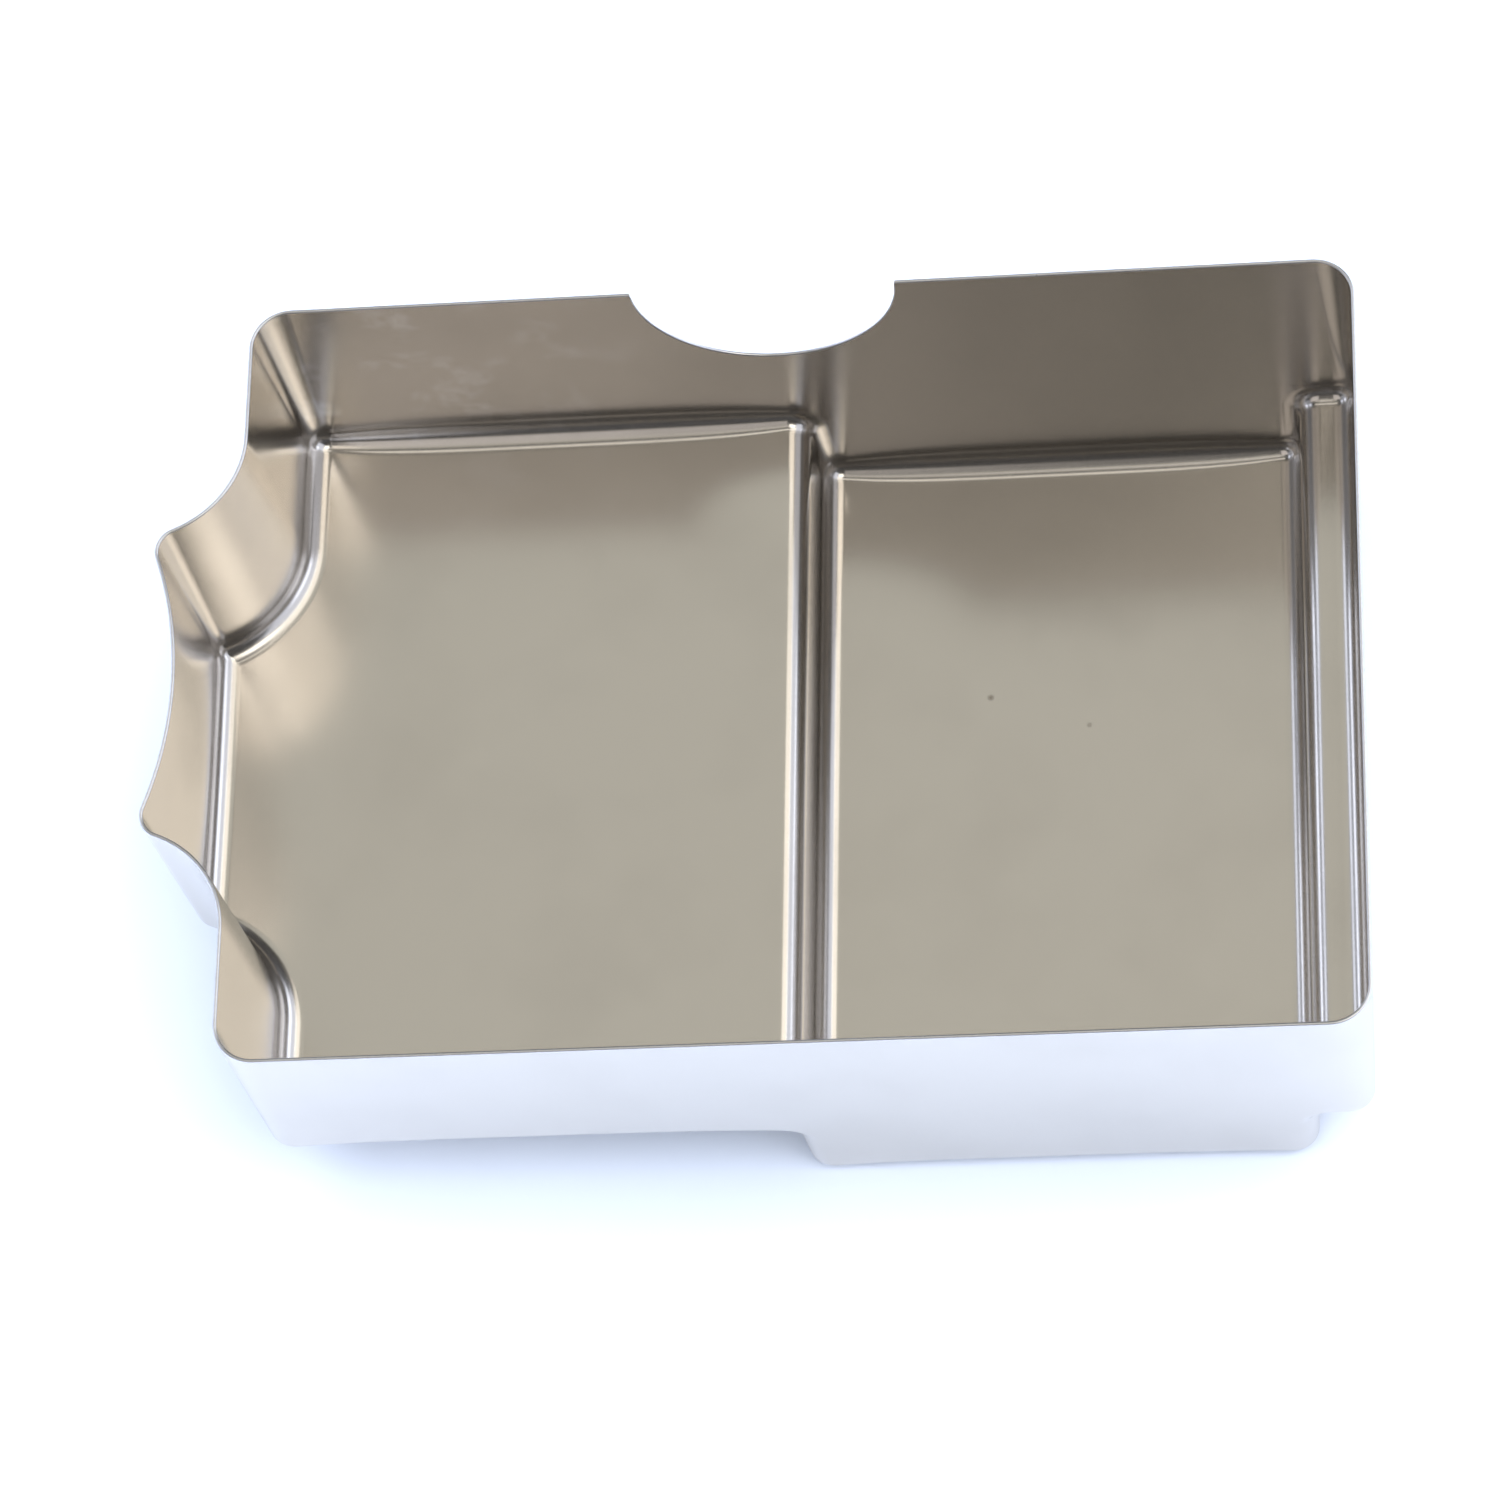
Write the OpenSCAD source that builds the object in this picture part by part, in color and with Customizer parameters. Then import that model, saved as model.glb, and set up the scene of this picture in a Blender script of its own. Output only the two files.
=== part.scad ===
// Two-level counting tray pressed from one sheet of metal.
// X runs along the length with the pouring nose at -X, Y runs to the notched wall, Z is up.
// The origin is the middle of the bounding box, on the plane that the deep floor stands on.

/* [Rim] */
// Outside length of the rectangular part of the rim
rim_l = 170; // [160:1:190]
// Outside width of the rim
rim_w = 125; // [115:1:140]
// Outside corner radius of the rim
rim_r = 6.3; // [5:0.1:9]
// Thickness of the sheet
sheet = 0.6; // [0.5:0.1:0.8]
// Lean of every wall from the vertical, in degrees
draft = 2; // [1.5:0.5:3]

/* [Nose] */
// How far the two nubs stand out past the left side
nose_l = 13; // [11:0.5:15]
// How far the nose edge is drawn back between its nubs, at the rim
nose_dip = 3.7; // [1:0.1:4]
// Outside radius of each nub at the rim
nub_r = 4; // [3:0.1:5]
// Radius of the scallop beside each nub
scallop_r = 16.5; // [15:0.5:20]
// Distance from the middle line to where a scallop starts
scallop_y = 41; // [38:0.5:44]

/* [Floors] */
// Inside depth of the shallow compartment and the ledge
shallow = 40; // [40:1:44]
// Inside depth of the deep compartment
deep = 57; // [54:1:64]
// Where the shallow floor turns down, from the middle of the rectangular rim
step_x = -6.5; // [-10:0.5:-4]
// Width of the flat along the top of the ledge
ledge_w = 1.8; // [1:0.1:6]
// Inside radius of the bends across the tray
bend_r = 3.5; // [3:0.1:3.6]
// Inside radius where the floors meet the front and back walls
side_r = 2.8; // [2:0.1:2.9]
// How much larger that radius grows by the middle of each floor
side_swell = 1.4; // [0:0.1:3]

/* [Notch] */
// Radius of the half-round notch in the back wall
notch_r = 20.3; // [18:0.1:21]
// Middle of the notch, from the middle of the rectangular rim
notch_x = -5.4; // [-8:0.1:-2]

/* [Hidden] */

// Inside half length, half width and corner radius of the rim
half_l = rim_l / 2 - sheet;
half_w = rim_w / 2 - sheet;
corner_r = rim_r - sheet;
// The smallest nub radius and dip that the nose outline keeps as it shrinks towards the floor
nub_min = 0.6;
dip_min = 0.1;
// How many steps the surface takes along each bend, wall, flat and stretch of the nose
bend_steps = 5;
wall_steps = 4;
flat_steps = 4;
mid_steps = 2;
nub_steps = 4;
scallop_steps = 8;
// Distances that space out the stations on the flats and the ends of the wall lines on the rim
notch_lead = 2;
floor_run = 19;
rim_inset = 10;
rise_lean = 3;

function mix(a, b, t) = a + (b - a) * t;
function fractions(n) = [for (k = [1 : n]) k / n];
// Unit vector at an angle, across the tray's length
function dir(angle) = [cos(angle), sin(angle)];

// The floor line: stations [x, z, angle of the normal, corner radius] from the left rim to the right rim.
// The rim is at z = 0 here, and a normal points into the tray.
bend_z = -shallow + bend_r;
left_c = [-half_l - bend_z * tan(draft) + bend_r / cos(draft), bend_z];
right_c = [-left_c[0], bend_z];
// A step is a convex bend, a short leaning wall and a concave bend
step_drop = deep - shallow - 2 * bend_r * (1 - sin(draft));
step_run = 2 * bend_r * cos(draft) + step_drop * tan(draft);
deep_start = step_x + step_run;
ledge_x = right_c[0] - ledge_w;
deep_end = ledge_x - step_run;

function wall_station(side, t) =
    let (top = (left_c - bend_r * dir(draft))[1])
    [side * (half_l + top * t * tan(draft)), top * t, side > 0 ? 180 - draft : draft,
     mix(corner_r, side_r, t)];
// A point on a bend across the tray: radius is positive on a convex bend, negative on a concave one
function bend_station(c, radius, a) = let (p = c + radius * dir(a)) [p[0], p[1], a, side_r];
function bend(c, radius, a0, a1) = [for (t = fractions(bend_steps)) bend_station(c, radius, mix(a0, a1, t))];
// Points on a floor that runs from one x to another, where the side radius swells and shrinks again
function flat_floor(xs, z, from, to) =
    [for (x = xs) [x, z, 90, side_r + side_swell * (1 - pow(2 * (x - from) / (to - from) - 1, 4))]];

// The centres of the four bends of the two steps
top_left_c = [step_x, -shallow - bend_r];
foot_left_c = [deep_start, -deep + bend_r];
foot_right_c = [deep_end, -deep + bend_r];
top_right_c = [ledge_x, -shallow - bend_r];

left_part = concat(
    [for (k = [0 : wall_steps]) wall_station(-1, k / wall_steps)],
    bend(left_c, -bend_r, draft, 90)
);
notch_start = notch_x - notch_r - notch_lead;
notch_end = notch_x + notch_r + notch_lead;
shallow_part = flat_floor(
    concat(
        [left_c[0] + floor_run, notch_start],
        [for (t = fractions(flat_steps)) mix(notch_start, step_x, t)]
    ),
    -shallow, left_c[0], step_x
);
step_part = concat(
    bend(top_left_c, bend_r, 90, draft),
    [bend_station(foot_left_c, -bend_r, draft)],
    bend(foot_left_c, -bend_r, draft, 90)
);
deep_part = flat_floor(
    concat(
        [for (t = fractions(flat_steps)) mix(deep_start, notch_end, t)],
        [mix(notch_end, deep_end, 0.5), deep_end]
    ),
    -deep, deep_start, deep_end
);
rise_part = concat(
    bend(foot_right_c, -bend_r, 90, 180 - draft),
    [bend_station(top_right_c, bend_r, 180 - draft)],
    bend(top_right_c, bend_r, 180 - draft, 90)
);
right_part = concat(
    flat_floor([right_c[0]], -shallow, ledge_x, right_c[0]),
    bend(right_c, -bend_r, 90, 180 - draft),
    [for (k = [1 : wall_steps]) wall_station(1, 1 - k / wall_steps)]
);
stations = concat(left_part, shallow_part, step_part, deep_part, rise_part, right_part);
last = len(stations) - 1;
left_last = len(left_part) - 1;
notch_first = left_last + 2;
turn_last = left_last + len(shallow_part) + bend_steps;
notch_last = left_last + len(shallow_part) + len(step_part) + flat_steps;
rise_first = notch_last + 2;

// The rim point that each station's wall line runs up to, and the depth of the notch there.
// Past the step's convex bend the lines lean the other way, so that none of them cross.
rim_table = [[0, -half_l + rim_inset], [left_last, -half_l + 2 * rim_inset], [notch_first, notch_x - notch_r],
    [notch_last, notch_x + notch_r], [rise_first, deep_end - rise_lean], [last, half_l - rim_inset]];
function notch_angle_at(x) = acos((notch_x - x) / notch_r);
notch_table = [[notch_first, 0], [turn_last, notch_angle_at(step_x + bend_r + side_r)],
    [turn_last + 1, notch_angle_at(deep_start)], [notch_last, 180]];
function in_notch(i) = i > notch_first && i < notch_last;
function rim_x(i) = in_notch(i) ? notch_x - notch_r * cos(lookup(i, notch_table)) : lookup(i, rim_table);
function notch_z(i) = in_notch(i) ? -notch_r * sin(lookup(i, notch_table)) : 0;

// Half of the nose outline, inset from the rim and at a height z, as [x, y, outward normal x and y]:
// a drawn-back middle, a rounded nub, a scallop and a short straight side, each tangent to the next
function nose_half(inset, z, side_y) =
    let (
        tip = -half_l - nose_l + inset,
        nub = max(nub_min, nub_r - sheet - inset),
        dip = max(dip_min, nose_dip * (1 + z / shallow)),
        scallop_c = [-rim_l / 2 - scallop_r, scallop_y],
        scallop = scallop_r + sheet + inset,
        reach = tip + nub - scallop_c[0],
        nub_c = [tip + nub, scallop_y - sqrt((scallop + nub) ^ 2 - reach ^ 2)],
        middle = ((nub - dip) ^ 2 + nub_c[1] ^ 2 - nub ^ 2) / (2 * dip),
        middle_c = [tip + dip - middle, 0],
        a_middle = atan2(nub_c[1], nub_c[0] - middle_c[0]),
        a_scallop = atan2(nub_c[1] - scallop_y, reach)
    )
    concat(
        [for (k = [0 : mid_steps]) let (d = dir(a_middle * k / mid_steps)) concat(middle_c + middle * d, -d)],
        [for (t = fractions(nub_steps)) let (d = dir(mix(180 + a_middle, 180 + a_scallop, t)))
            concat(nub_c + nub * d, d)],
        [for (t = fractions(scallop_steps)) let (d = dir(a_scallop * (1 - t)))
            concat(scallop_c + scallop * d, -d)],
        [[-half_l + inset, side_y, -1, 0]]
    );

// Each cross-section rounds its floor into the side walls with a rolling ball
wall_normal = [0, cos(draft), -sin(draft)];
function ball_z(s) = s[1] + s[3] * sin(s[2]);
function ball_y(s) = half_w + ball_z(s) * tan(draft) - s[3] / cos(draft);
floor_y = ball_y(stations[left_last]);
floor_outline = nose_half(left_c[0] + half_l, -shallow, floor_y);

function bottom_half(i) =
    let (s = stations[i], side_y = ball_y(s))
    i < left_last
        ? [for (p = nose_half(s[0] + half_l, s[1], side_y))
            [[p[0], p[1], s[1]], [p[2] * cos(s[2]), p[3] * cos(s[2]), -sin(s[2])]]]
        : [for (p = floor_outline)
            [[i == left_last ? p[0] : s[0], p[1] * side_y / floor_y, s[1]], [-cos(s[2]), 0, -sin(s[2])]]];
function bend_half(i) =
    let (
        s = stations[i],
        n = [-cos(s[2]), 0, -sin(s[2])],
        c = [s[0], ball_y(s), s[1]] - s[3] * n,
        turn = acos(n * wall_normal)
    )
    [for (t = fractions(bend_steps))
        let (d = (sin(turn * (1 - t)) * n + sin(turn * t) * wall_normal) / sin(turn)) [c + s[3] * d, d]];
function top_half(i, z) = [[[rim_x(i), half_w + z * tan(draft), z], wall_normal]];
function half_section(i, z) = concat(bottom_half(i), bend_half(i), top_half(i, z));
function mirrored(half) = [for (k = [len(half) - 1 : -1 : 1])
    [for (v = half[k]) [v[0], -v[1], v[2]]]];
function section(i) = concat(mirrored(half_section(i, 0)), half_section(i, notch_z(i)));

// The sheet: the inside surface, the same surface moved out by the thickness, and the cut edge between them
sections = [for (i = [0 : last]) section(i)];
across = len(sections[0]);
function on_rim(i, z) = i == 0 || i == last ? 0 : min(z, 0);
function skin(out) = [for (i = [0 : last], q = sections[i])
    let (p = q[0] + out * q[1]) [p[0], p[1], on_rim(i, p[2])]];
function at(layer, i, j) = (layer * (last + 1) + i) * across + j;
function quad(a, b, c, d) = [[a, b, c], [a, c, d]];
function flipped(faces) = [for (f = faces) [f[0], f[2], f[1]]];
// Each patch is split along the diagonal that keeps a corner off the straight rim
function patch(layer, i, j) =
    let (a = at(layer, i, j), b = at(layer, i, j + 1), c = at(layer, i + 1, j + 1), d = at(layer, i + 1, j))
    (i < last / 2) == (j < across / 2) ? quad(a, b, c, d) : quad(b, c, d, a);
edge_loop = concat(
    [for (j = [0 : across - 2]) [0, j]],
    [for (i = [0 : last - 1]) [i, across - 1]],
    [for (j = [across - 1 : -1 : 1]) [last, j]],
    [for (i = [last : -1 : 1]) [i, 0]]
);
skin_faces = [for (i = [0 : last - 1], j = [0 : across - 2])
    each concat(patch(0, i, j), flipped(patch(1, i, j)))];
edge_faces = [for (k = [0 : len(edge_loop) - 1])
    let (a = edge_loop[k], b = edge_loop[(k + 1) % len(edge_loop)])
    each quad(at(0, a[0], a[1]), at(1, a[0], a[1]), at(1, b[0], b[1]), at(0, b[0], b[1]))];

// The whole tray is one pressing
module tray_shell() {
    color("silver")
        translate([nose_l / 2, 0, deep + sheet])
            polyhedron(points = concat(skin(0), skin(sheet)), faces = concat(skin_faces, edge_faces));
}

tray_shell();
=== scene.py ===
# %% [markdown]
# A two-level counting tray, pressed from one sheet of stainless steel.
# The real object has one piece and no moving parts, so the lesson is about two things: a thin
# shell whose bends are round enough to catch the light properly, and a satin metal that looks
# like metal because of what it reflects. Everything is in metres, in the frame of the CAD model.

import bpy
import numpy as np
from mathutils import Matrix, Vector


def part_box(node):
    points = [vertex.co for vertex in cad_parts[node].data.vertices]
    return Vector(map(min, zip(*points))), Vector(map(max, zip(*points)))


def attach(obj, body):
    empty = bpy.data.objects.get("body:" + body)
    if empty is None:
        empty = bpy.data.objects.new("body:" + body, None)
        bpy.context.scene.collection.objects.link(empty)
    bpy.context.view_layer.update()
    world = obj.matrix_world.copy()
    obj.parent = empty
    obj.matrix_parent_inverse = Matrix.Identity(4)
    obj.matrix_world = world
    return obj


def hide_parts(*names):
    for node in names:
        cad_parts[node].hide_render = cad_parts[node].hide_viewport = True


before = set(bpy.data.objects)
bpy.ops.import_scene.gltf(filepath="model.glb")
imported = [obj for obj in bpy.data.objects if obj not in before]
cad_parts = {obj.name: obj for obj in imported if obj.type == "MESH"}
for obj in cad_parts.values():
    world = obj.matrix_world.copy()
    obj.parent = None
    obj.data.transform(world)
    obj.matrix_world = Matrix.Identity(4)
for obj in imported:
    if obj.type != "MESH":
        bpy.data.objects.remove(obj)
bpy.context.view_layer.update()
LOW, HIGH = (np.array(corner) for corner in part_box("tray_shell"))

# %% [markdown]
# The driving sizes. They repeat the CAD model's sizes, because the shell below has to lie
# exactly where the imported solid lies. Lengths are in metres and angles in radians. The surface
# that is worked out is the inside of the tray, so outer radii lose the sheet's thickness here.
# The rim is the plane z = 0 while the shell is worked out, and the shell is moved to its place
# at the end.

# %% Sizes of the pressing
MM = 0.001
RIM_LENGTH, RIM_WIDTH = 170 * MM, 125 * MM
SHEET = 0.6 * MM
DRAFT = np.radians(2)
CORNER_RADIUS = 6.3 * MM - SHEET
NOSE_LENGTH, NOSE_DIP, NOSE_DIP_SMALLEST = 13 * MM, 3.7 * MM, 0.1 * MM
NUB_RADIUS, NUB_SMALLEST = 4 * MM - SHEET, 0.6 * MM
SCALLOP_RADIUS, SCALLOP_Y = 16.5 * MM, 41 * MM
SHALLOW, DEEP = 40 * MM, 57 * MM
STEP_X, LEDGE_WIDTH = -6.5 * MM, 1.8 * MM
BEND_RADIUS, SIDE_RADIUS, SIDE_SWELL = 3.5 * MM, 2.8 * MM, 1.4 * MM
NOTCH_RADIUS, NOTCH_X, NOTCH_MARGIN = 20.3 * MM, -5.4 * MM, 2 * MM
EDGE_CROWN = 0.2 * MM
HALF_LENGTH = RIM_LENGTH / 2 - SHEET
HALF_WIDTH = RIM_WIDTH / 2 - SHEET
PLACE = np.array([NOSE_LENGTH / 2, 0.0, DEEP + SHEET])
print("the CAD node is", np.round((HIGH - LOW) / MM, 1), "mm")

# %% [markdown]
# How finely the surface is divided. A reflection shows every facet of a bend, so the bends get
# many rows. A floor needs rows too, because its side bends swell and shrink along its length.

# %% Steps along each stretch
BEND_STEPS, WALL_STEPS, FLAT_STEPS, LINE_STEPS = 14, 10, 14, 6
MIDDLE_STEPS, NUB_STEPS, SCALLOP_STEPS, SIDE_STEPS, EDGE_STEPS = 12, 10, 24, 4, 6


def steps(count):
    """The fractions 1/count, 2/count ... 1: a stretch without the point that it starts from."""
    return np.arange(1, count + 1) / count


def mix(start, end, t):
    """The value a fraction t of the way from start to end."""
    return start + (end - start) * t


print("each bend turns in", BEND_STEPS, "rows")

# %% [markdown]
# The floor line. Cut the tray down its middle and the cut shows one line: down the nose wall,
# round onto the shallow floor, over a convex bend, down a short wall and round a concave bend
# onto the deep floor, up the same kind of step to a narrow ledge, and up the end wall.
# It could be drawn as a Bezier curve, but arcs joined at tangents are what a press tool has, and
# they give each point an exact normal. A station is (x, z, angle of the normal, side radius),
# where the side radius is that of the bend into the front and back walls.

# %% Kinds of station
UP, LEFT_LEAN, RIGHT_LEAN = np.pi / 2, DRAFT, np.pi - DRAFT


def station_rows(x, z, angle, radius):
    """Stacks four values or arrays into rows of (x, z, angle, side radius)."""
    return np.stack(np.broadcast_arrays(np.atleast_1d(x), z, angle, radius), axis=1)


def bend(centre, radius, start, end, include_start=False):
    """Centre + radius * (cos a, sin a), for a from start to end. A negative radius is concave."""
    t = np.concatenate([[0.0], steps(BEND_STEPS)]) if include_start else steps(BEND_STEPS)
    angle = mix(start, end, t)
    x = centre[0] + radius * np.cos(angle)
    z = centre[1] + radius * np.sin(angle)
    return station_rows(x, z, angle, SIDE_RADIUS)


def end_wall(side, t):
    """A leaning end wall: x = side * (half length - depth * tan draft), t = 0 at the rim and 1 at its foot.

    Its side radius grows from the floor's at the foot to the rim corner's at the top.
    """
    z = t * (-SHALLOW + BEND_RADIUS - BEND_RADIUS * np.sin(DRAFT))
    angle = RIGHT_LEAN if side > 0 else LEFT_LEAN
    x = side * (HALF_LENGTH + z * np.tan(DRAFT))
    return station_rows(x, z, angle, mix(CORNER_RADIUS, SIDE_RADIUS, t))


def flat(x, z, start, end):
    """A level stretch of the floor that runs from start to end.

    Its side radius is r + swell * (1 - (2 * share - 1)^4), where share goes from 0 to 1.
    """
    share = (np.atleast_1d(x) - start) / (end - start)
    return station_rows(x, z, UP, SIDE_RADIUS + SIDE_SWELL * (1 - (2 * share - 1) ** 4))


# %% [markdown]
# Where the bends and flats meet. A step is a convex bend, a short leaning wall and a concave
# bend. Both bends have the same radius, so its drop and its run follow from that radius, the
# draft and the two floor levels.

# %% Places of the bends
SHALLOW_Z, DEEP_Z = -SHALLOW, -DEEP
foot_z = SHALLOW_Z + BEND_RADIUS
left_foot = np.array([-HALF_LENGTH - foot_z * np.tan(DRAFT) + BEND_RADIUS / np.cos(DRAFT), foot_z])
right_foot = left_foot * [-1, 1]
step_drop = DEEP - SHALLOW - 2 * BEND_RADIUS * (1 - np.sin(DRAFT))
step_run = 2 * BEND_RADIUS * np.cos(DRAFT) + step_drop * np.tan(DRAFT)
deep_start = STEP_X + step_run
ledge_x = right_foot[0] - LEDGE_WIDTH
deep_end = ledge_x - step_run
notch_start = NOTCH_X - NOTCH_RADIUS - NOTCH_MARGIN
notch_end = NOTCH_X + NOTCH_RADIUS + NOTCH_MARGIN
step_top = np.array([STEP_X, SHALLOW_Z - BEND_RADIUS])
step_foot = np.array([deep_start, DEEP_Z + BEND_RADIUS])
rise_foot = np.array([deep_end, DEEP_Z + BEND_RADIUS])
rise_top = np.array([ledge_x, SHALLOW_Z - BEND_RADIUS])
print("the deep floor is flat from", round(deep_start / MM, 2), "to", round(deep_end / MM, 2), "mm")

# %% [markdown]
# The stretches in order, from the nose to the end wall. Each starts where the one before it
# ends, so only the first stretch and the bends beyond a short leaning wall include their own
# first point.

# %% The floor line, station by station
nose_wall = end_wall(-1, np.linspace(0, 1, WALL_STEPS + 1))
nose_foot = bend(left_foot, -BEND_RADIUS, LEFT_LEAN, UP)
shallow_ends = (left_foot[0], STEP_X)
deep_ends = (deep_start, deep_end)
end_foot = bend(right_foot, -BEND_RADIUS, UP, RIGHT_LEAN)
parts = {
    "nose wall": np.vstack([nose_wall, nose_foot]),
    "shallow run": flat(mix(left_foot[0], notch_start, steps(FLAT_STEPS)), SHALLOW_Z, *shallow_ends),
    "shallow floor": flat(mix(notch_start, STEP_X, steps(FLAT_STEPS)), SHALLOW_Z, *shallow_ends),
    "step over": bend(step_top, BEND_RADIUS, UP, LEFT_LEAN),
    "step under": bend(step_foot, -BEND_RADIUS, LEFT_LEAN, UP, include_start=True),
    "deep floor": flat(mix(deep_start, notch_end, steps(FLAT_STEPS)), DEEP_Z, *deep_ends),
    "deep run": flat(mix(notch_end, deep_end, steps(FLAT_STEPS)), DEEP_Z, *deep_ends),
    "rise under": bend(rise_foot, -BEND_RADIUS, UP, RIGHT_LEAN),
    "rise over": bend(rise_top, BEND_RADIUS, RIGHT_LEAN, UP, include_start=True),
    "ledge": flat(right_foot[0], SHALLOW_Z, ledge_x, right_foot[0]),
    "end wall": np.vstack([end_foot, end_wall(1, 1 - steps(WALL_STEPS))]),
}
STATIONS = np.vstack(list(parts.values()))
ends = dict(zip(parts, np.cumsum([len(rows) for rows in parts.values()]) - 1))
LAST = len(STATIONS) - 1
print(len(STATIONS), "stations in", len(parts), "stretches")

# %% [markdown]
# The nose. Seen from above, its outline is a shallow hollow between two rounded nubs, then a
# scallop on each side and a short straight edge, every arc tangent to the next. Going down the
# wall the outline shrinks: an arc that bulges into the tray grows, and a nub tightens.
# The nub's centre is where two circles cross, so the outline needs no table of points.

# %% Outline of half the nose
def nose_half(inset, z, side_y):
    """Half of the outline for each row of (inset, height, end y): positions and outward normals in plan.

    The nub's centre lies at scallop radius + nub radius from the scallop's centre, and the middle
    arc's radius is ((nub - dip)^2 + y^2 - nub^2) / (2 dip), which makes it tangent to the nub.
    """
    inset, z, side_y = (np.asarray(value, float)[:, None] for value in (inset, z, side_y))
    tip = -HALF_LENGTH - NOSE_LENGTH + inset
    nub = np.maximum(NUB_SMALLEST, NUB_RADIUS - inset)
    dip = np.maximum(NOSE_DIP_SMALLEST, NOSE_DIP * (1 + z / SHALLOW))
    scallop = SCALLOP_RADIUS + SHEET + inset
    scallop_x = -RIM_LENGTH / 2 - SCALLOP_RADIUS
    nub_x = tip + nub
    nub_y = SCALLOP_Y - np.sqrt((scallop + nub) ** 2 - (nub_x - scallop_x) ** 2)
    middle = ((nub - dip) ** 2 + nub_y**2 - nub**2) / (2 * dip)
    middle_x = tip + dip - middle
    turn_middle = np.arctan2(nub_y, nub_x - middle_x)
    turn_scallop = np.arctan2(nub_y - SCALLOP_Y, nub_x - scallop_x)
    middle_angle = turn_middle * np.linspace(0, 1, MIDDLE_STEPS + 1)
    nub_angle = mix(np.pi + turn_middle, np.pi + turn_scallop, steps(NUB_STEPS))
    scallop_angle = turn_scallop * (1 - steps(SCALLOP_STEPS))
    side = np.ones_like(inset) * steps(SIDE_STEPS)
    x = [
        middle_x + middle * np.cos(middle_angle),
        nub_x + nub * np.cos(nub_angle),
        scallop_x + scallop * np.cos(scallop_angle),
        inset - HALF_LENGTH + 0 * side,
    ]
    y = [
        middle * np.sin(middle_angle),
        nub_y + nub * np.sin(nub_angle),
        SCALLOP_Y + scallop * np.sin(scallop_angle),
        mix(SCALLOP_Y, side_y, side),
    ]
    normal_x = [-np.cos(middle_angle), np.cos(nub_angle), -np.cos(scallop_angle), -1 + 0 * side]
    normal_y = [-np.sin(middle_angle), np.sin(nub_angle), -np.sin(scallop_angle), 0 * side]
    return tuple(np.concatenate(rows, axis=1) for rows in (x, y, normal_x, normal_y))


# %% [markdown]
# The cross-sections. At every station the floor turns up into the front and back walls on the
# path of a ball that rolls along the corner, touching both. That is how a press tool is rounded,
# and it also carries the corner round the steps without a seam. The ball's centre sits one
# radius from the floor along its normal and one radius from the leaning wall.

# %% Sections across the tray
WALL_NORMAL = np.array([0.0, np.cos(DRAFT), -np.sin(DRAFT)])
STATION_X, STATION_Z, STATION_ANGLE, SIDE_RADII = STATIONS.T
FLOOR_NORMALS = np.stack([-np.cos(STATION_ANGLE), 0 * STATION_ANGLE, -np.sin(STATION_ANGLE)], axis=1)
BALL_Z = STATION_Z + SIDE_RADII * np.sin(STATION_ANGLE)
BALL_Y = HALF_WIDTH + BALL_Z * np.tan(DRAFT) - SIDE_RADII / np.cos(DRAFT)


def bottom_half():
    """From the middle line to the ball: the nose outline on the nose wall, straight lines elsewhere.

    Over the flat run behind the nose, x is mixed from the outline's own x to one value.
    """
    count = ends["nose wall"] + 1
    x, y, normal_x, normal_y = nose_half(STATION_X[:count] + HALF_LENGTH, STATION_Z[:count], BALL_Y[:count])
    lean = STATION_ANGLE[:count, None]
    nose = np.stack([x, y, STATION_Z[:count, None] + 0 * x], axis=2)
    nose_normals = np.stack(
        [normal_x * np.cos(lean), normal_y * np.cos(lean), -np.sin(lean) + 0 * normal_x], axis=2
    )
    share = np.clip((STATION_X[count:] - left_foot[0]) / (notch_start - left_foot[0]), 0, 1)[:, None]
    rest_x = mix(x[-1] - left_foot[0], 0, share) + STATION_X[count:, None]
    rest_y = y[-1] * (BALL_Y[count:] / BALL_Y[count - 1])[:, None]
    rest = np.stack([rest_x, rest_y, STATION_Z[count:, None] + 0 * rest_x], axis=2)
    rest_normals = np.broadcast_to(FLOOR_NORMALS[count:, None], rest.shape)
    return np.concatenate([nose, rest]), np.concatenate([nose_normals, rest_normals])


def ball_half():
    """Ball centre + radius * direction, the direction swept evenly from the floor's normal to the wall's."""
    centre = np.stack([STATION_X, BALL_Y, STATION_Z], axis=1) - SIDE_RADII[:, None] * FLOOR_NORMALS
    turn = np.arccos(FLOOR_NORMALS @ WALL_NORMAL)[:, None, None]
    t = steps(BEND_STEPS)[None, :, None]
    direction = np.sin(turn * (1 - t)) * FLOOR_NORMALS[:, None] + np.sin(turn * t) * WALL_NORMAL
    direction = direction / np.sin(turn)
    return centre[:, None] + SIDE_RADII[:, None, None] * direction, direction


smallest, largest = SIDE_RADII.min() / MM, SIDE_RADII.max() / MM
print("the ball's radius runs from", round(smallest, 2), "to", round(largest, 2), "mm")

# %% [markdown]
# The walls run in straight lines from the ball's path up to the rim. On the back wall the lines
# that reach the notch stop at its arc, so the notch is part of the surface and needs no Boolean,
# which would leave long thin faces. The lines fan out so that none of them cross.

# %% Where the wall lines end
CUT_RADIUS = NOTCH_RADIUS + EDGE_CROWN
# Distances along the rim from its ends: of the first and last wall lines, and of the nose bend's last
END_SPREAD, BEND_SPREAD = 10 * MM, 20 * MM
# How far before the end of the deep floor its last wall line reaches the rim
DEEP_SPREAD = 3 * MM


def notch_angle_at(x):
    """The angle round the notch, from its left end, at which its arc is at x."""
    return np.arccos((NOTCH_X - x) / NOTCH_RADIUS)


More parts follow.
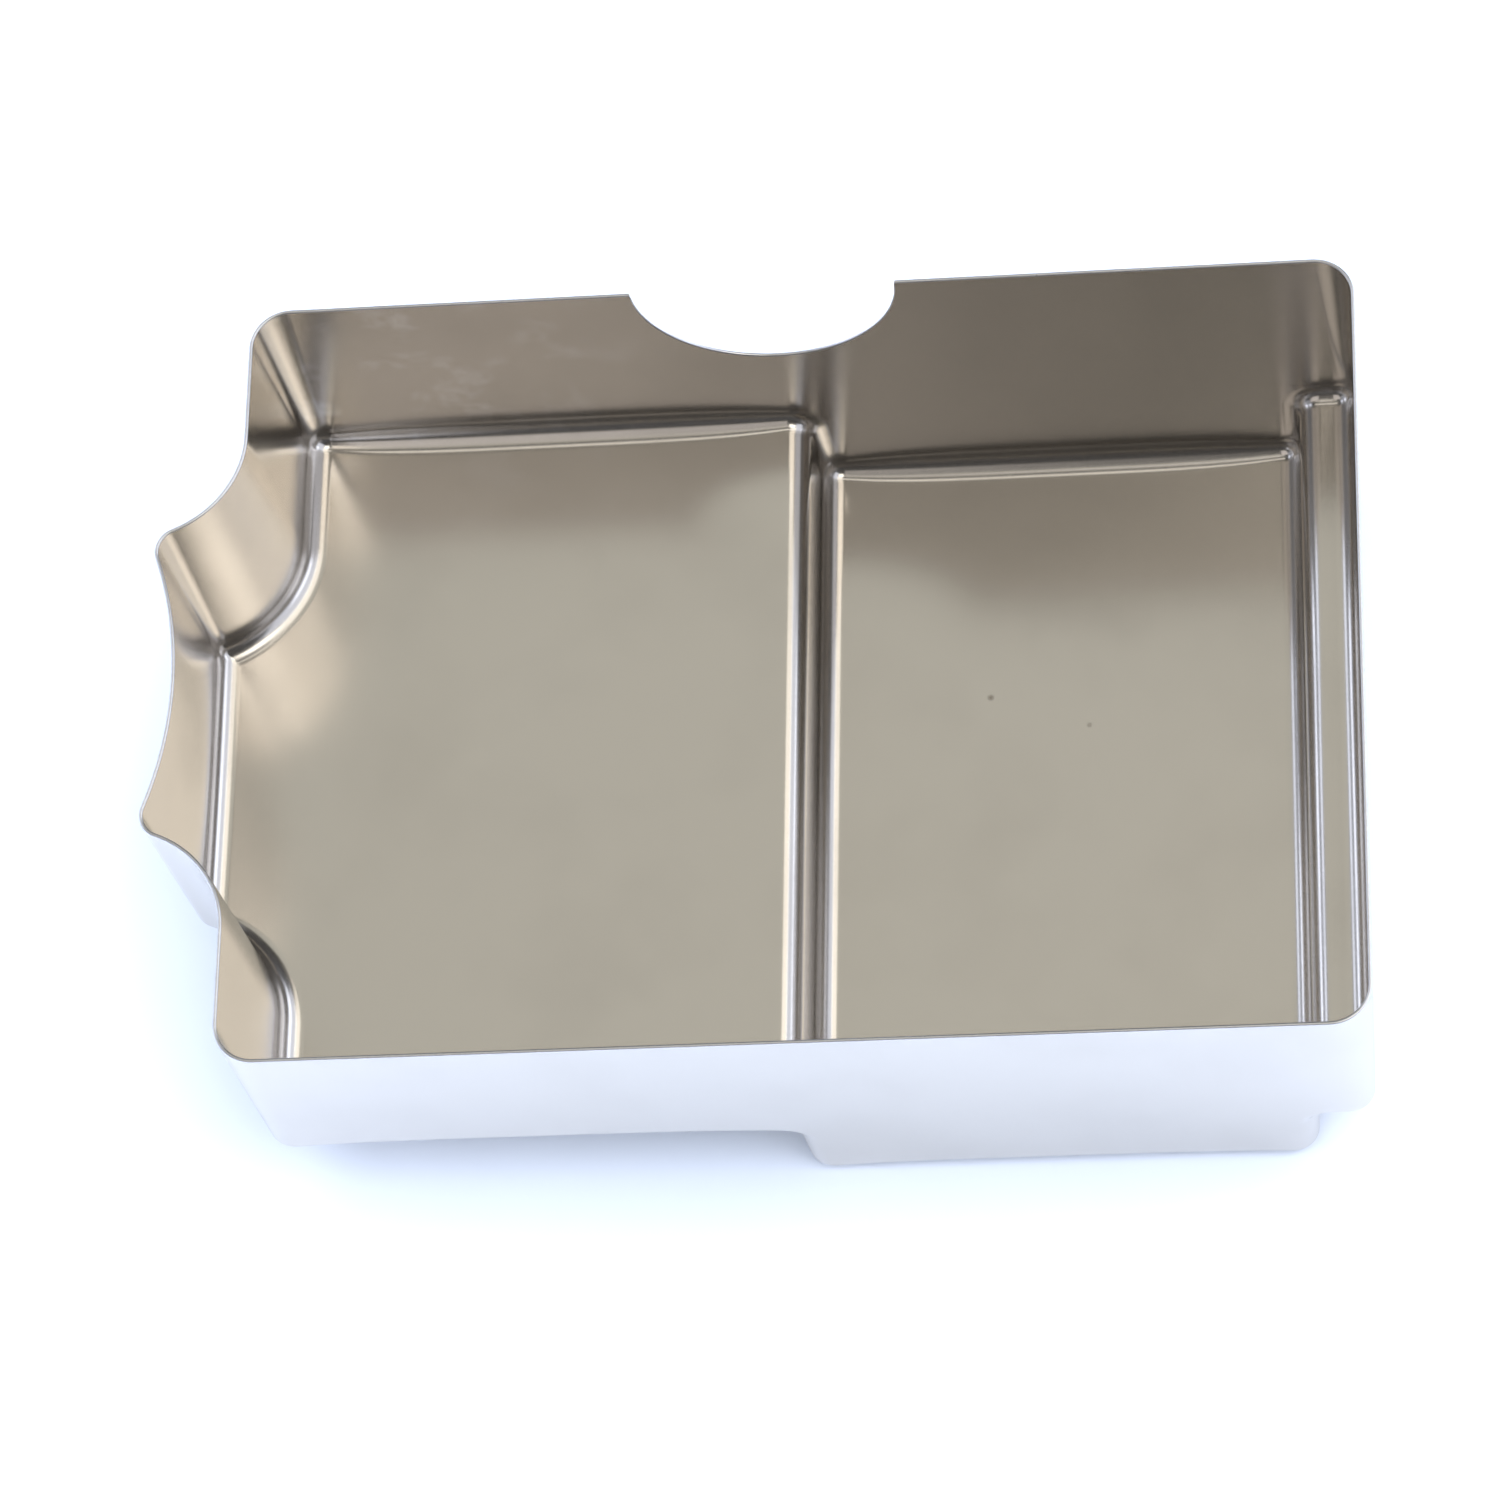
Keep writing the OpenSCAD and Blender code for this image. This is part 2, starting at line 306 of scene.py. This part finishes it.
index = np.arange(LAST + 1)
notch_first, notch_last = ends["shallow run"], ends["deep floor"]
over_last = ends["step over"]
NOTCH_TURN = np.interp(
    index,
    [notch_first, over_last, over_last + 1, notch_last],
    [0, notch_angle_at(STEP_X + BEND_RADIUS + SIDE_RADIUS), notch_angle_at(deep_start), np.pi],
)
rim_table_x = [
    -HALF_LENGTH + END_SPREAD,
    -HALF_LENGTH + BEND_SPREAD,
    NOTCH_X - CUT_RADIUS,
    NOTCH_X + CUT_RADIUS,
    deep_end - DEEP_SPREAD,
    HALF_LENGTH - END_SPREAD,
]
rim_table_index = [0, ends["nose wall"], notch_first, notch_last, ends["deep run"], LAST]
RIM_X = np.interp(index, rim_table_index, rim_table_x)
IN_NOTCH = (index > notch_first) & (index < notch_last)
RIM_X = np.where(IN_NOTCH, NOTCH_X - CUT_RADIUS * np.cos(NOTCH_TURN), RIM_X)
FRONT_RIM_Z = np.full(LAST + 1, -EDGE_CROWN)
BACK_RIM_Z = np.where(IN_NOTCH, np.minimum(-CUT_RADIUS * np.sin(NOTCH_TURN), -EDGE_CROWN), -EDGE_CROWN)
print(int(IN_NOTCH.sum()), "wall lines end on the notch")

# %% [markdown]
# The whole inside. The same floor and ball serve both halves, and only the walls differ, because
# the notch is in the back one. The front half is the mirror image.

# %% Walls and the whole surface
def wall_half(foot, rim_z):
    """Straight lines from the end of the ball's path to the rim points."""
    rim = np.stack([RIM_X, HALF_WIDTH + rim_z * np.tan(DRAFT), rim_z], axis=1)
    line = mix(foot[:, None], rim[:, None], steps(LINE_STEPS)[None, :, None])
    return line, np.broadcast_to(WALL_NORMAL, line.shape)


def whole_surface():
    """Joins the front half, mirrored, to the back half: one grid of points and one of outward normals."""
    floor, floor_normals = bottom_half()
    ball, ball_normals = ball_half()
    halves = []
    for rim_z in (FRONT_RIM_Z, BACK_RIM_Z):
        wall, wall_normals = wall_half(ball[:, -1], rim_z)
        half = np.concatenate([floor, ball, wall], axis=1)
        half_normals = np.concatenate([floor_normals, ball_normals, wall_normals], axis=1)
        halves.append((half, half_normals))
    mirror = np.array([1.0, -1.0, 1.0])
    return tuple(np.concatenate([front[:, :0:-1] * mirror, back], axis=1) for front, back in zip(*halves))


INSIDE, NORMALS = whole_surface()
INSIDE[[0, LAST], :, 2] = -EDGE_CROWN
ACROSS = INSIDE.shape[1]
print("the surface is a grid of", INSIDE.shape[:2])

# %% [markdown]
# From surface to sheet. A Solidify modifier could thicken the surface, but it would leave the
# cut edge square and its corners dull. Here the outside is the inside moved out along its exact
# normals, and the edge between them is a low crown, as a deburred edge has.

# %% Points and normals of the sheet
def boundary(grid):
    """The grid's four borders, in order, as one closed loop."""
    return np.concatenate([grid[0, :-1], grid[:-1, -1], grid[-1, :0:-1], grid[:0:-1, 0]])


def edge_directions():
    """Away from the sheet across its cut edge: up on the rim, and to the notch's middle on its arc."""
    outward = np.zeros_like(INSIDE)
    outward[..., 2] = 1.0
    arc = outward[:, -1]
    arc[IN_NOTCH, 0] = np.cos(NOTCH_TURN[IN_NOTCH])
    arc[IN_NOTCH, 2] = np.sin(NOTCH_TURN[IN_NOTCH])
    return outward


CROWN_TURN = (np.pi * steps(EDGE_STEPS)[:-1])[:, None, None]
EDGE_UP = boundary(edge_directions())


def shell_points():
    """Inside, outside and crown. The crown is point + half sheet * (1 - cos t) out + crown * sin t up."""
    outside = INSIDE + SHEET * NORMALS
    inner_edge, outer_edge = boundary(INSIDE), boundary(outside)
    across = (outer_edge - inner_edge) * (1 - np.cos(CROWN_TURN)) / 2
    crown = inner_edge + across + EDGE_UP * EDGE_CROWN * np.sin(CROWN_TURN)
    return np.concatenate([INSIDE.reshape(-1, 3), outside.reshape(-1, 3), crown.reshape(-1, 3)]) + PLACE


def shell_normals():
    """Exact normals: into the tray inside, out of it outside, and across the crown from one to the other."""
    crown = -boundary(NORMALS) * np.cos(CROWN_TURN) + EDGE_UP * np.sin(CROWN_TURN)
    flat_normals = NORMALS.reshape(-1, 3)
    return np.concatenate([-flat_normals, flat_normals, crown.reshape(-1, 3)])


points = np.clip(shell_points(), LOW, HIGH)
print(len(points), "points, from", np.round(points.min(axis=0) / MM, 2), "mm")
print("to", np.round(points.max(axis=0) / MM, 2), "mm")

# %% [markdown]
# The faces join neighbours in the grids. The inside and the outside are the same grid seen from
# its two sides, so one of them is turned over, and the crown closes the loop between them.

# %% The closed shell
def quads(rows):
    """Faces between neighbouring rows and columns of a grid of vertex numbers."""
    return np.stack([rows[:-1, :-1], rows[:-1, 1:], rows[1:, 1:], rows[1:, :-1]], axis=-1).reshape(-1, 4)


def shell_faces():
    """Inside faces turned over, outside faces, and the crown's faces round the closed loop of the edge."""
    inner = np.arange(INSIDE.shape[0] * ACROSS).reshape(-1, ACROSS)
    outer = inner + inner.size
    loop_length = len(boundary(inner))
    crown = 2 * inner.size + np.arange((EDGE_STEPS - 1) * loop_length).reshape(-1, loop_length)
    ring = np.vstack([boundary(inner), crown, boundary(outer)])
    ring = np.hstack([ring, ring[:, :1]])
    return np.vstack([quads(inner)[:, ::-1], quads(outer), quads(ring)])


faces = shell_faces()
mesh = bpy.data.meshes.new("pressed_tray")
mesh.from_pydata(points.tolist(), [], faces.tolist())
mesh.update()
mesh.shade_smooth()
mesh.normals_split_custom_set_from_vertices(shell_normals().tolist())
tray = bpy.data.objects.new("pressed_tray", mesh)
bpy.context.scene.collection.objects.link(tray)
print(len(faces), "faces")

# %% [markdown]
# The tray's place in the frame. The mesh stands for the one CAD node and belongs to the root
# body, as the real tray does: nothing on it moves.

# %% Give the tray its place in the frame
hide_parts("tray_shell")
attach(tray, "root")
print(tray.name, "replaces tray_shell")

# %% [markdown]
# Helpers for materials. A hex colour is what a person reads off a swatch, and Blender wants
# linear light, so one function turns one into the other. One more adds a node with its settings
# and its links, which keeps each material readable from top to bottom.

# %% Colour and node helpers
NOISE, VORONOI, MAPPING = "ShaderNodeTexNoise", "ShaderNodeTexVoronoi", "ShaderNodeMapping"
RANGE, MATH, MIX, BUMP = "ShaderNodeMapRange", "ShaderNodeMath", "ShaderNodeMix", "ShaderNodeBump"
COORDINATES, SPLIT = "ShaderNodeTexCoord", "ShaderNodeSeparateXYZ"
PRINCIPLED, SURFACE_OUTPUT = "ShaderNodeBsdfPrincipled", "ShaderNodeOutputMaterial"


def linear(hex_colour):
    """sRGB hex to linear light: c/12.92 below 0.04045, ((c + 0.055)/1.055)^2.4 above, and alpha 1."""
    c = np.array([int(hex_colour[k : k + 2], 16) for k in (1, 3, 5)]) / 255
    return (*np.where(c <= 0.04045, c / 12.92, ((c + 0.055) / 1.055) ** 2.4).tolist(), 1.0)


def add(tree, kind, settings=(), links=(), **attributes):
    """Adds a node, sets its attributes and sockets, and links (input name or number) from output sockets."""
    node = tree.nodes.new(kind)
    for name, value in attributes.items():
        setattr(node, name, value)
    for name, value in dict(settings).items():
        node.inputs[name].default_value = value
    for name, socket in dict(links).items():
        tree.links.new(socket, node.inputs[name])
    return node


def empty_material(name):
    """A new material and its node tree, with no nodes in it."""
    material = bpy.data.materials.new(name)
    material.use_nodes = True
    material.node_tree.nodes.clear()
    return material, material.node_tree


def scale_for(size):
    """A texture's scale for features of about this size, when its coordinates are in metres."""
    return 1.0 / size


# %% [markdown]
# Satin stainless steel, 0.6 mm, drawn in a press and then tumbled. Tumbling leaves a fine even
# grain with no direction, so the metal blurs what it reflects without streaks. Drawing leaves the
# big surfaces very slightly wavy and leaves faint level rings on the walls. Handling adds cloudy
# smears, where grease roughens the shine, and a few dark specks on the floors. Pale flakes of
# painted highlight lie on the inside of the back wall, towards the nose end. The colour is the usual
# warm grey of stainless, and almost all the rest is what it reflects.

# %% Sizes of the steel's marks
# Waves: the sheet's slack, from crest to crest
WAVE_SIZE, WAVE_HEIGHT = 40 * MM, 0.25 * MM
# Draw rings: faint level lines on the walls
RING_LENGTH, RING_PITCH, RING_HEIGHT = 60 * MM, 1.2 * MM, 0.01 * MM
# Grain: tumbled pits of a few hundredths of a millimetre, drawn at 0.6 mm so that they show
GRAIN_SIZE, GRAIN_HEIGHT = 0.6 * MM, 0.008 * MM
# Smears: soft clouds. Specks: a dot in some of the cells. Flakes: painted highlights inside the back wall
SMEAR_SIZE = 22 * MM
SPECK_CELL, SPECK_SHARE = 16 * MM, 0.2
FLAKE_SIZE = 9 * MM
# The painted highlights on the back wall: where they fade out along x, and how far back they lie
HIGHLIGHT_FADE_X = {"From Min": -10 * MM, "From Max": -60 * MM}
HIGHLIGHT_BACK_Y = {"From Min": 50 * MM, "From Max": 56 * MM}
print("grain", GRAIN_SIZE / MM, "mm, smears", SMEAR_SIZE / MM, "mm")

# %% Satin steel
def steel_grain(tree, place, facing):
    """Three bumps, one on another: the sheet's slow waves, level draw rings on the walls, and the grain.

    The rings are noise stretched level, and they count only where the normal is far from upright.
    """
    grain = add(tree, NOISE, {"Scale": scale_for(GRAIN_SIZE), "Detail": 2.0}, {"Vector": place})
    wave = add(tree, NOISE, {"Scale": scale_for(WAVE_SIZE), "Detail": 1.0}, {"Vector": place})
    ring_scale = (scale_for(RING_LENGTH), scale_for(RING_LENGTH), scale_for(RING_PITCH))
    stretched = add(tree, MAPPING, {"Scale": ring_scale}, {"Vector": place})
    rings = add(tree, NOISE, {"Scale": 1.0, "Detail": 2.0}, {"Vector": stretched.outputs["Vector"]})
    upright = add(tree, MATH, links={0: facing.outputs["Z"]}, operation="ABSOLUTE")
    wall = add(tree, RANGE, {"From Min": 0.5, "From Max": 0.1}, {"Value": upright.outputs[0]})
    drawn = add(
        tree, MATH, links={0: rings.outputs["Fac"], 1: wall.outputs["Result"]}, operation="MULTIPLY"
    )
    bump_wave = add(
        tree, BUMP, {"Strength": 0.35, "Distance": WAVE_HEIGHT}, {"Height": wave.outputs["Fac"]}
    )
    bump_drawn = add(
        tree, BUMP, {"Strength": 0.25, "Distance": RING_HEIGHT},
        {"Height": drawn.outputs[0], "Normal": bump_wave.outputs["Normal"]},
    )
    bump = add(
        tree, BUMP, {"Strength": 0.12, "Distance": GRAIN_HEIGHT},
        {"Height": grain.outputs["Fac"], "Normal": bump_drawn.outputs["Normal"]},
    )
    return grain.outputs["Fac"], bump.outputs["Normal"]


def steel_specks(tree, place):
    """One point in each cell of the plan, kept where its cell's own random value is high, and then faded."""
    cell_scale = (scale_for(SPECK_CELL), scale_for(SPECK_CELL), 0.0)
    plan = add(tree, MAPPING, {"Scale": cell_scale}, {"Vector": place})
    cells = add(tree, VORONOI, {"Scale": 1.0, "Randomness": 1.0}, {"Vector": plan.outputs["Vector"]})
    dot = add(tree, RANGE, {"From Min": 0.045, "From Max": 0.015}, {"Value": cells.outputs["Distance"]})
    chance = add(tree, "ShaderNodeSeparateColor", links={"Color": cells.outputs["Color"]})
    chosen = add(tree, MATH, {1: 1 - SPECK_SHARE}, {0: chance.outputs["Red"]}, operation="GREATER_THAN")
    speck = add(
        tree, MATH, links={0: dot.outputs["Result"], 1: chosen.outputs[0]}, operation="MULTIPLY"
    )
    return add(tree, MATH, {1: 0.6}, {0: speck.outputs[0]}, operation="MULTIPLY").outputs[0]


def painted_back_wall_highlights(tree, place, facing):
    """Painted highlight in pale flakes: noise * (how far back) * (faces the tray's middle) * (how near the
    nose end).
    """
    flake = add(
        tree, NOISE, {"Scale": scale_for(FLAKE_SIZE), "Detail": 5.0, "Roughness": 0.65}, {"Vector": place}
    )
    pale = add(tree, RANGE, {"From Min": 0.52, "From Max": 0.7}, {"Value": flake.outputs["Fac"]})
    along = add(tree, SPLIT, links={"Vector": place})
    nose_end = add(tree, RANGE, HIGHLIGHT_FADE_X, {"Value": along.outputs["X"]})
    at_back = add(tree, RANGE, HIGHLIGHT_BACK_Y, {"Value": along.outputs["Y"]})
    inward = add(
        tree, RANGE, {"From Min": -0.4, "From Max": -0.9, "To Max": 0.6}, {"Value": facing.outputs["Y"]}
    )
    highlight_mask = at_back.outputs["Result"]
    for factor in (inward, nose_end, pale):
        highlight_mask = add(tree, MATH, links={0: highlight_mask, 1: factor.outputs["Result"]}, operation="MULTIPLY").outputs[0]
    return highlight_mask


def satin_steel():
    """Principled metal: warm grey, roughness from smears and grain, bump from waves, draw rings and grain."""
    material, tree = empty_material("satin_stainless_steel")
    place = add(tree, COORDINATES).outputs["Object"]
    normal = add(tree, "ShaderNodeNewGeometry").outputs["Normal"]
    facing = add(tree, SPLIT, links={"Vector": normal})
    grain, bump = steel_grain(tree, place, facing)
    # Smears: soft clouds, broken up at an eighth of their size, kept only where they are strongest
    cloud = add(
        tree, NOISE, {"Scale": scale_for(SMEAR_SIZE), "Detail": 3.0, "Roughness": 0.5}, {"Vector": place}
    )
    smear = add(tree, RANGE, {"From Min": 0.45, "From Max": 0.8}, {"Value": cloud.outputs["Fac"]})
    # Colour: steel, a little greyer under a smear, paler where a highlight is painted on the back wall, brown
    # at a speck
    tint = add(
        tree, MIX, {"A": linear("#D1CCC5"), "B": linear("#CBC6BF")},
        {"Factor": smear.outputs["Result"]}, data_type="RGBA",
    )
    # Painted highlight: pale flakes on the inside of the back wall, towards the nose end
    highlighted = add(
        tree, MIX, {"B": linear("#F0F0F2")},
        {"Factor": painted_back_wall_highlights(tree, place, facing), "A": tint.outputs["Result"]}, data_type="RGBA",
    )
    colour = add(
        tree, MIX, {"B": linear("#5B4636")},
        {"Factor": steel_specks(tree, place), "A": highlighted.outputs["Result"]}, data_type="RGBA",
    )
    # Roughness: about 0.20 where clean and 0.24 in a smear, with a little of the grain in it
    rough = add(tree, RANGE, {"To Min": 0.18, "To Max": 0.215}, {"Value": smear.outputs["Result"]})
    gritty = add(
        tree, MATH, {1: 0.05}, {0: grain, 2: rough.outputs["Result"]}, operation="MULTIPLY_ADD"
    )
    shader = add(
        tree, PRINCIPLED, {"Metallic": 1.0},
        {"Base Color": colour.outputs["Result"], "Roughness": gritty.outputs[0], "Normal": bump},
    )
    add(tree, SURFACE_OUTPUT, links={"Surface": shader.outputs["BSDF"]})
    return material


# %% [markdown]
# The cut edge. Shears tear the sheet and a deburring wheel rubs it bright, so the edge is a
# lighter line than the faces, a little rougher, with fine nicks along it.

# %% Deburred edge
NICK_SIZE, NICK_DEPTH = 0.6 * MM, 0.02 * MM


def deburred_edge():
    """A brighter metal whose colour, roughness and bump all follow one noise of short nicks."""
    material, tree = empty_material("deburred_cut_edge")
    place = add(tree, COORDINATES).outputs["Object"]
    nick = add(tree, NOISE, {"Scale": scale_for(NICK_SIZE), "Detail": 3.0}, {"Vector": place})
    rough = add(tree, RANGE, {"To Min": 0.22, "To Max": 0.42}, {"Value": nick.outputs["Fac"]})
    colour = add(
        tree, MIX, {"A": linear("#E6E6E8"), "B": linear("#D2D1D2")},
        {"Factor": nick.outputs["Fac"]}, data_type="RGBA",
    )
    bump = add(tree, BUMP, {"Strength": 0.3, "Distance": NICK_DEPTH}, {"Height": nick.outputs["Fac"]})
    shader = add(
        tree, PRINCIPLED, {"Metallic": 1.0},
        {
            "Base Color": colour.outputs["Result"],
            "Roughness": rough.outputs["Result"],
            "Normal": bump.outputs["Normal"],
        },
    )
    add(tree, SURFACE_OUTPUT, links={"Surface": shader.outputs["BSDF"]})
    return material


# %% [markdown]
# Two finishes on one sheet. The crown's faces come last in the mesh, so they are the ones that
# get the second material.

# %% Finish the tray
mesh.materials.append(satin_steel())
mesh.materials.append(deburred_edge())
edge_index = np.zeros(len(mesh.polygons), dtype=np.int32)
edge_index[len(faces) - EDGE_STEPS * len(boundary(INSIDE)) :] = 1
mesh.polygons.foreach_set("material_index", edge_index)
print(int(edge_index.sum()), "faces have the cut edge's finish")

# %% [markdown]
# The counter is a pale matt sheet, wide enough that the camera sees nothing beyond it. It lies a
# hair below the tray, because where two surfaces share a plane, either may be drawn.

# %% Counter
COUNTER_HALF, COUNTER_POINTS, COUNTER_GAP = 2.5, 9, 0.05 * MM
MOTTLE_SIZE, PEBBLE_SIZE, PEBBLE_HEIGHT = 60 * MM, 1.5 * MM, 0.02 * MM


def level_sheet(half_size, z):
    """A square grid of points at one height: x and y both run from -half size to +half size."""
    line = np.linspace(-half_size, half_size, COUNTER_POINTS)
    x, y = np.meshgrid(line, line)
    return np.stack([x.ravel(), y.ravel(), np.full(x.size, z)], axis=1)


def pale_laminate():
    """A matt laminate, pressed with a fine pebble: a very slight mottle, and the pebble in the bump."""
    material, tree = empty_material("pale_laminate")
    place = add(tree, COORDINATES).outputs["Object"]
    mottle = add(tree, NOISE, {"Scale": scale_for(MOTTLE_SIZE), "Detail": 3.0}, {"Vector": place})
    pebble = add(tree, NOISE, {"Scale": scale_for(PEBBLE_SIZE)}, {"Vector": place})
    colour = add(
        tree, MIX, {"A": linear("#E9EFFA"), "B": linear("#EDF2FB")},
        {"Factor": mottle.outputs["Fac"]}, data_type="RGBA",
    )
    bump = add(
        tree, BUMP, {"Strength": 0.2, "Distance": PEBBLE_HEIGHT}, {"Height": pebble.outputs["Fac"]}
    )
    shader = add(
        tree, PRINCIPLED, {"Roughness": 0.7},
        {"Base Color": colour.outputs["Result"], "Normal": bump.outputs["Normal"]},
    )
    add(tree, SURFACE_OUTPUT, links={"Surface": shader.outputs["BSDF"]})
    return material


counter_points = level_sheet(COUNTER_HALF, LOW[2] - COUNTER_GAP)
counter_faces = quads(np.arange(len(counter_points)).reshape(-1, COUNTER_POINTS))
counter_mesh = bpy.data.meshes.new("counter")
counter_mesh.from_pydata(counter_points.tolist(), [], counter_faces.tolist())
counter = bpy.data.objects.new("counter", counter_mesh)
bpy.context.scene.collection.objects.link(counter)
counter_mesh.materials.append(pale_laminate())
print("the counter lies", COUNTER_GAP / MM, "mm below the tray")

# %% [markdown]
# The world is what the metal sees between the lights: a pale horizon, which the counter seems to
# run into, and a dim room overhead. It changes with height only.

# %% World
HORIZON, OVERHEAD, OVERHEAD_HEIGHT = "#EEF3FF", "#5F5E5C", 0.95
BANDS_BETWEEN = ((0.10, "#C9D0DE"), (0.22, "#62646A"), (0.5, "#484848"))


def surroundings():
    """World light by the height of the direction: cool and pale at the horizon, a dim room overhead."""
    world = bpy.data.worlds.new("studio")
    bpy.context.scene.world = world
    world.use_nodes = True
    tree = world.node_tree
    tree.nodes.clear()
    direction = add(tree, COORDINATES).outputs["Generated"]
    height = add(tree, SPLIT, links={"Vector": direction})
    band = add(tree, "ShaderNodeValToRGB", links={"Fac": height.outputs["Z"]})
    stops = band.color_ramp.elements
    stops[0].position, stops[0].color = 0.0, linear(HORIZON)
    stops[1].position, stops[1].color = OVERHEAD_HEIGHT, linear(OVERHEAD)
    for height_share, colour in BANDS_BETWEEN:
        stops.new(height_share).color = linear(colour)
    glow = add(tree, "ShaderNodeBackground", {"Strength": 1.0}, {"Color": band.outputs["Color"]})
    add(tree, "ShaderNodeOutputWorld", links={"Surface": glow.outputs["Background"]})


surroundings()
print("the world has", 2 + len(BANDS_BETWEEN), "colours, by height")

# %% [markdown]
# The lights. Metal shows its surroundings, so each light is placed for what some surface sees.
# Image-based light would do all this in one picture, but a picture is a file, and a few soft
# panels can be moved one at a time. The trick for placing one is to follow the line of sight
# from the camera, off the metal, up to the ceiling, and to put the panel where it lands.

# %% Kinds of light
CEILING_Z = 1.45
CENTRE, TRAY_TOP = (0, 0, 0), (0, 0, 0.1)


def panel(name, place, target, size, glow, colour, in_reflections=True):
    """A soft rectangular light facing a target.

    Its power is pi * area * glow, so that glow is how bright it looks, whatever its size.
    """
    data = bpy.data.lights.new(name, "AREA")
    data.shape = "RECTANGLE"
    data.size, data.size_y = size
    data.energy = glow * np.pi * size[0] * size[1]
    data.color = linear(colour)[:3]
    lamp = bpy.data.objects.new(name, data)
    direction = Vector(target) - Vector(place)
    lamp.matrix_world = Matrix.Translation(place) @ direction.to_track_quat("-Z", "Y").to_matrix().to_4x4()
    lamp.visible_camera = False
    lamp.visible_glossy = in_reflections
    bpy.context.scene.collection.objects.link(lamp)
    return lamp


def ceiling_panel(name, x, y, glow, colour):
    """A panel that lies level at ceiling height and spans the given x and y."""
    middle = (sum(x) / 2, sum(y) / 2, CEILING_Z)
    below = (middle[0], middle[1], 0)
    return panel(name, middle, below, (x[1] - x[0], y[1] - y[0]), glow, colour)


# %% [markdown]
# The panels in order: a fill for the counter, the ceiling from back to front, then the sides.
# The ceiling's panels are warm and the side ones are cool, as in a room by daylight.

# %% Lights
# Brightens the counter and is not seen in the metal
panel("counter_fill", (0.1, -0.2, 1.6), CENTRE, (2.2, 2.2), 3.55, "#E0ECFF", in_reflections=False)
# Seen in the floors, the ledge and the nose wall
ceiling_panel("ceiling_back", (-0.95, 0.22), (0.28, 1.5), 0.61, "#F4F3E8")
# Seen in the crest of the step and in the scallops
ceiling_panel("ceiling_warm", (0.26, 1.05), (-0.30, 0.95), 1.6, "#FFFAF0")
ceiling_panel("ceiling_warm_front", (0.14, 0.9), (-0.85, -0.30), 2.6, "#FFFBF4")
# A highlight along the front of each back bend
ceiling_panel("ceiling_strip", (-0.7, 0.22), (0.0, 0.22), 1.25, "#FFFAF0")
# Seen in the back wall of the shallow compartment, by way of its floor
ceiling_panel("window_front_left", (-1.5, -0.20), (-1.9, -0.58), 0.72, "#FFF9F6")
# Seen where the floors mirror the back wall
ceiling_panel("ceiling_front", (-0.65, 0.14), (-0.58, -0.28), 0.58, "#FFFAF0")
# Cool light on what faces sideways: the corners, the ends and the narrow sides of the bends
panel("wall_left", (-2.0, 0.3, 1.1), TRAY_TOP, (3.4, 1.6), 0.35, "#E6EDFF")
panel("window_left_low", (-1.8, 0.8, 0.75), TRAY_TOP, (2.4, 0.35), 2.2, "#DFE8FF")
panel("window_left_high", (-1.6, 0.8, 1.65), TRAY_TOP, (2.4, 0.40), 1.6, "#DFE8FF")
panel("wall_right", (1.9, 0.1, 1.2), TRAY_TOP, (3.4, 2.0), 1.15, "#E6EDFF")
panel("window_right", (1.8, 0.6, 0.8), TRAY_TOP, (2.2, 0.45), 1.4, "#E4ECFF")
print(len(bpy.data.lights), "panels")

# %% [markdown]
# The camera looks down at the open side from the front, turned a little to the right and rolled,
# with a long lens so that the far rim is hardly smaller than the near one.

# %% Camera
VIEW_AZIMUTH, VIEW_ELEVATION, VIEW_ROLL = np.radians([17.09, 64.33, 17.83])
VIEW_DISTANCE, LENS_MM, SENSOR_MM = 1.023, 155.5, 36.0
LOOK_AT = np.array([-0.0075, 0.011, 0.0])
away = np.array([
    np.sin(VIEW_AZIMUTH) * np.cos(VIEW_ELEVATION),
    -np.cos(VIEW_AZIMUTH) * np.cos(VIEW_ELEVATION),
    np.sin(VIEW_ELEVATION),
])
camera_data = bpy.data.cameras.new("camera")
camera_data.lens, camera_data.sensor_width = LENS_MM, SENSOR_MM
camera = bpy.data.objects.new("camera", camera_data)
aim = Vector(-away).to_track_quat("-Z", "Y").to_matrix().to_4x4() @ Matrix.Rotation(-VIEW_ROLL, 4, "Z")
camera.matrix_world = Matrix.Translation(LOOK_AT + VIEW_DISTANCE * away) @ aim
bpy.context.scene.collection.objects.link(camera)
bpy.context.scene.camera = camera
bpy.context.scene.view_settings.view_transform = "Standard"
print("the camera stands", VIEW_DISTANCE, "m away")
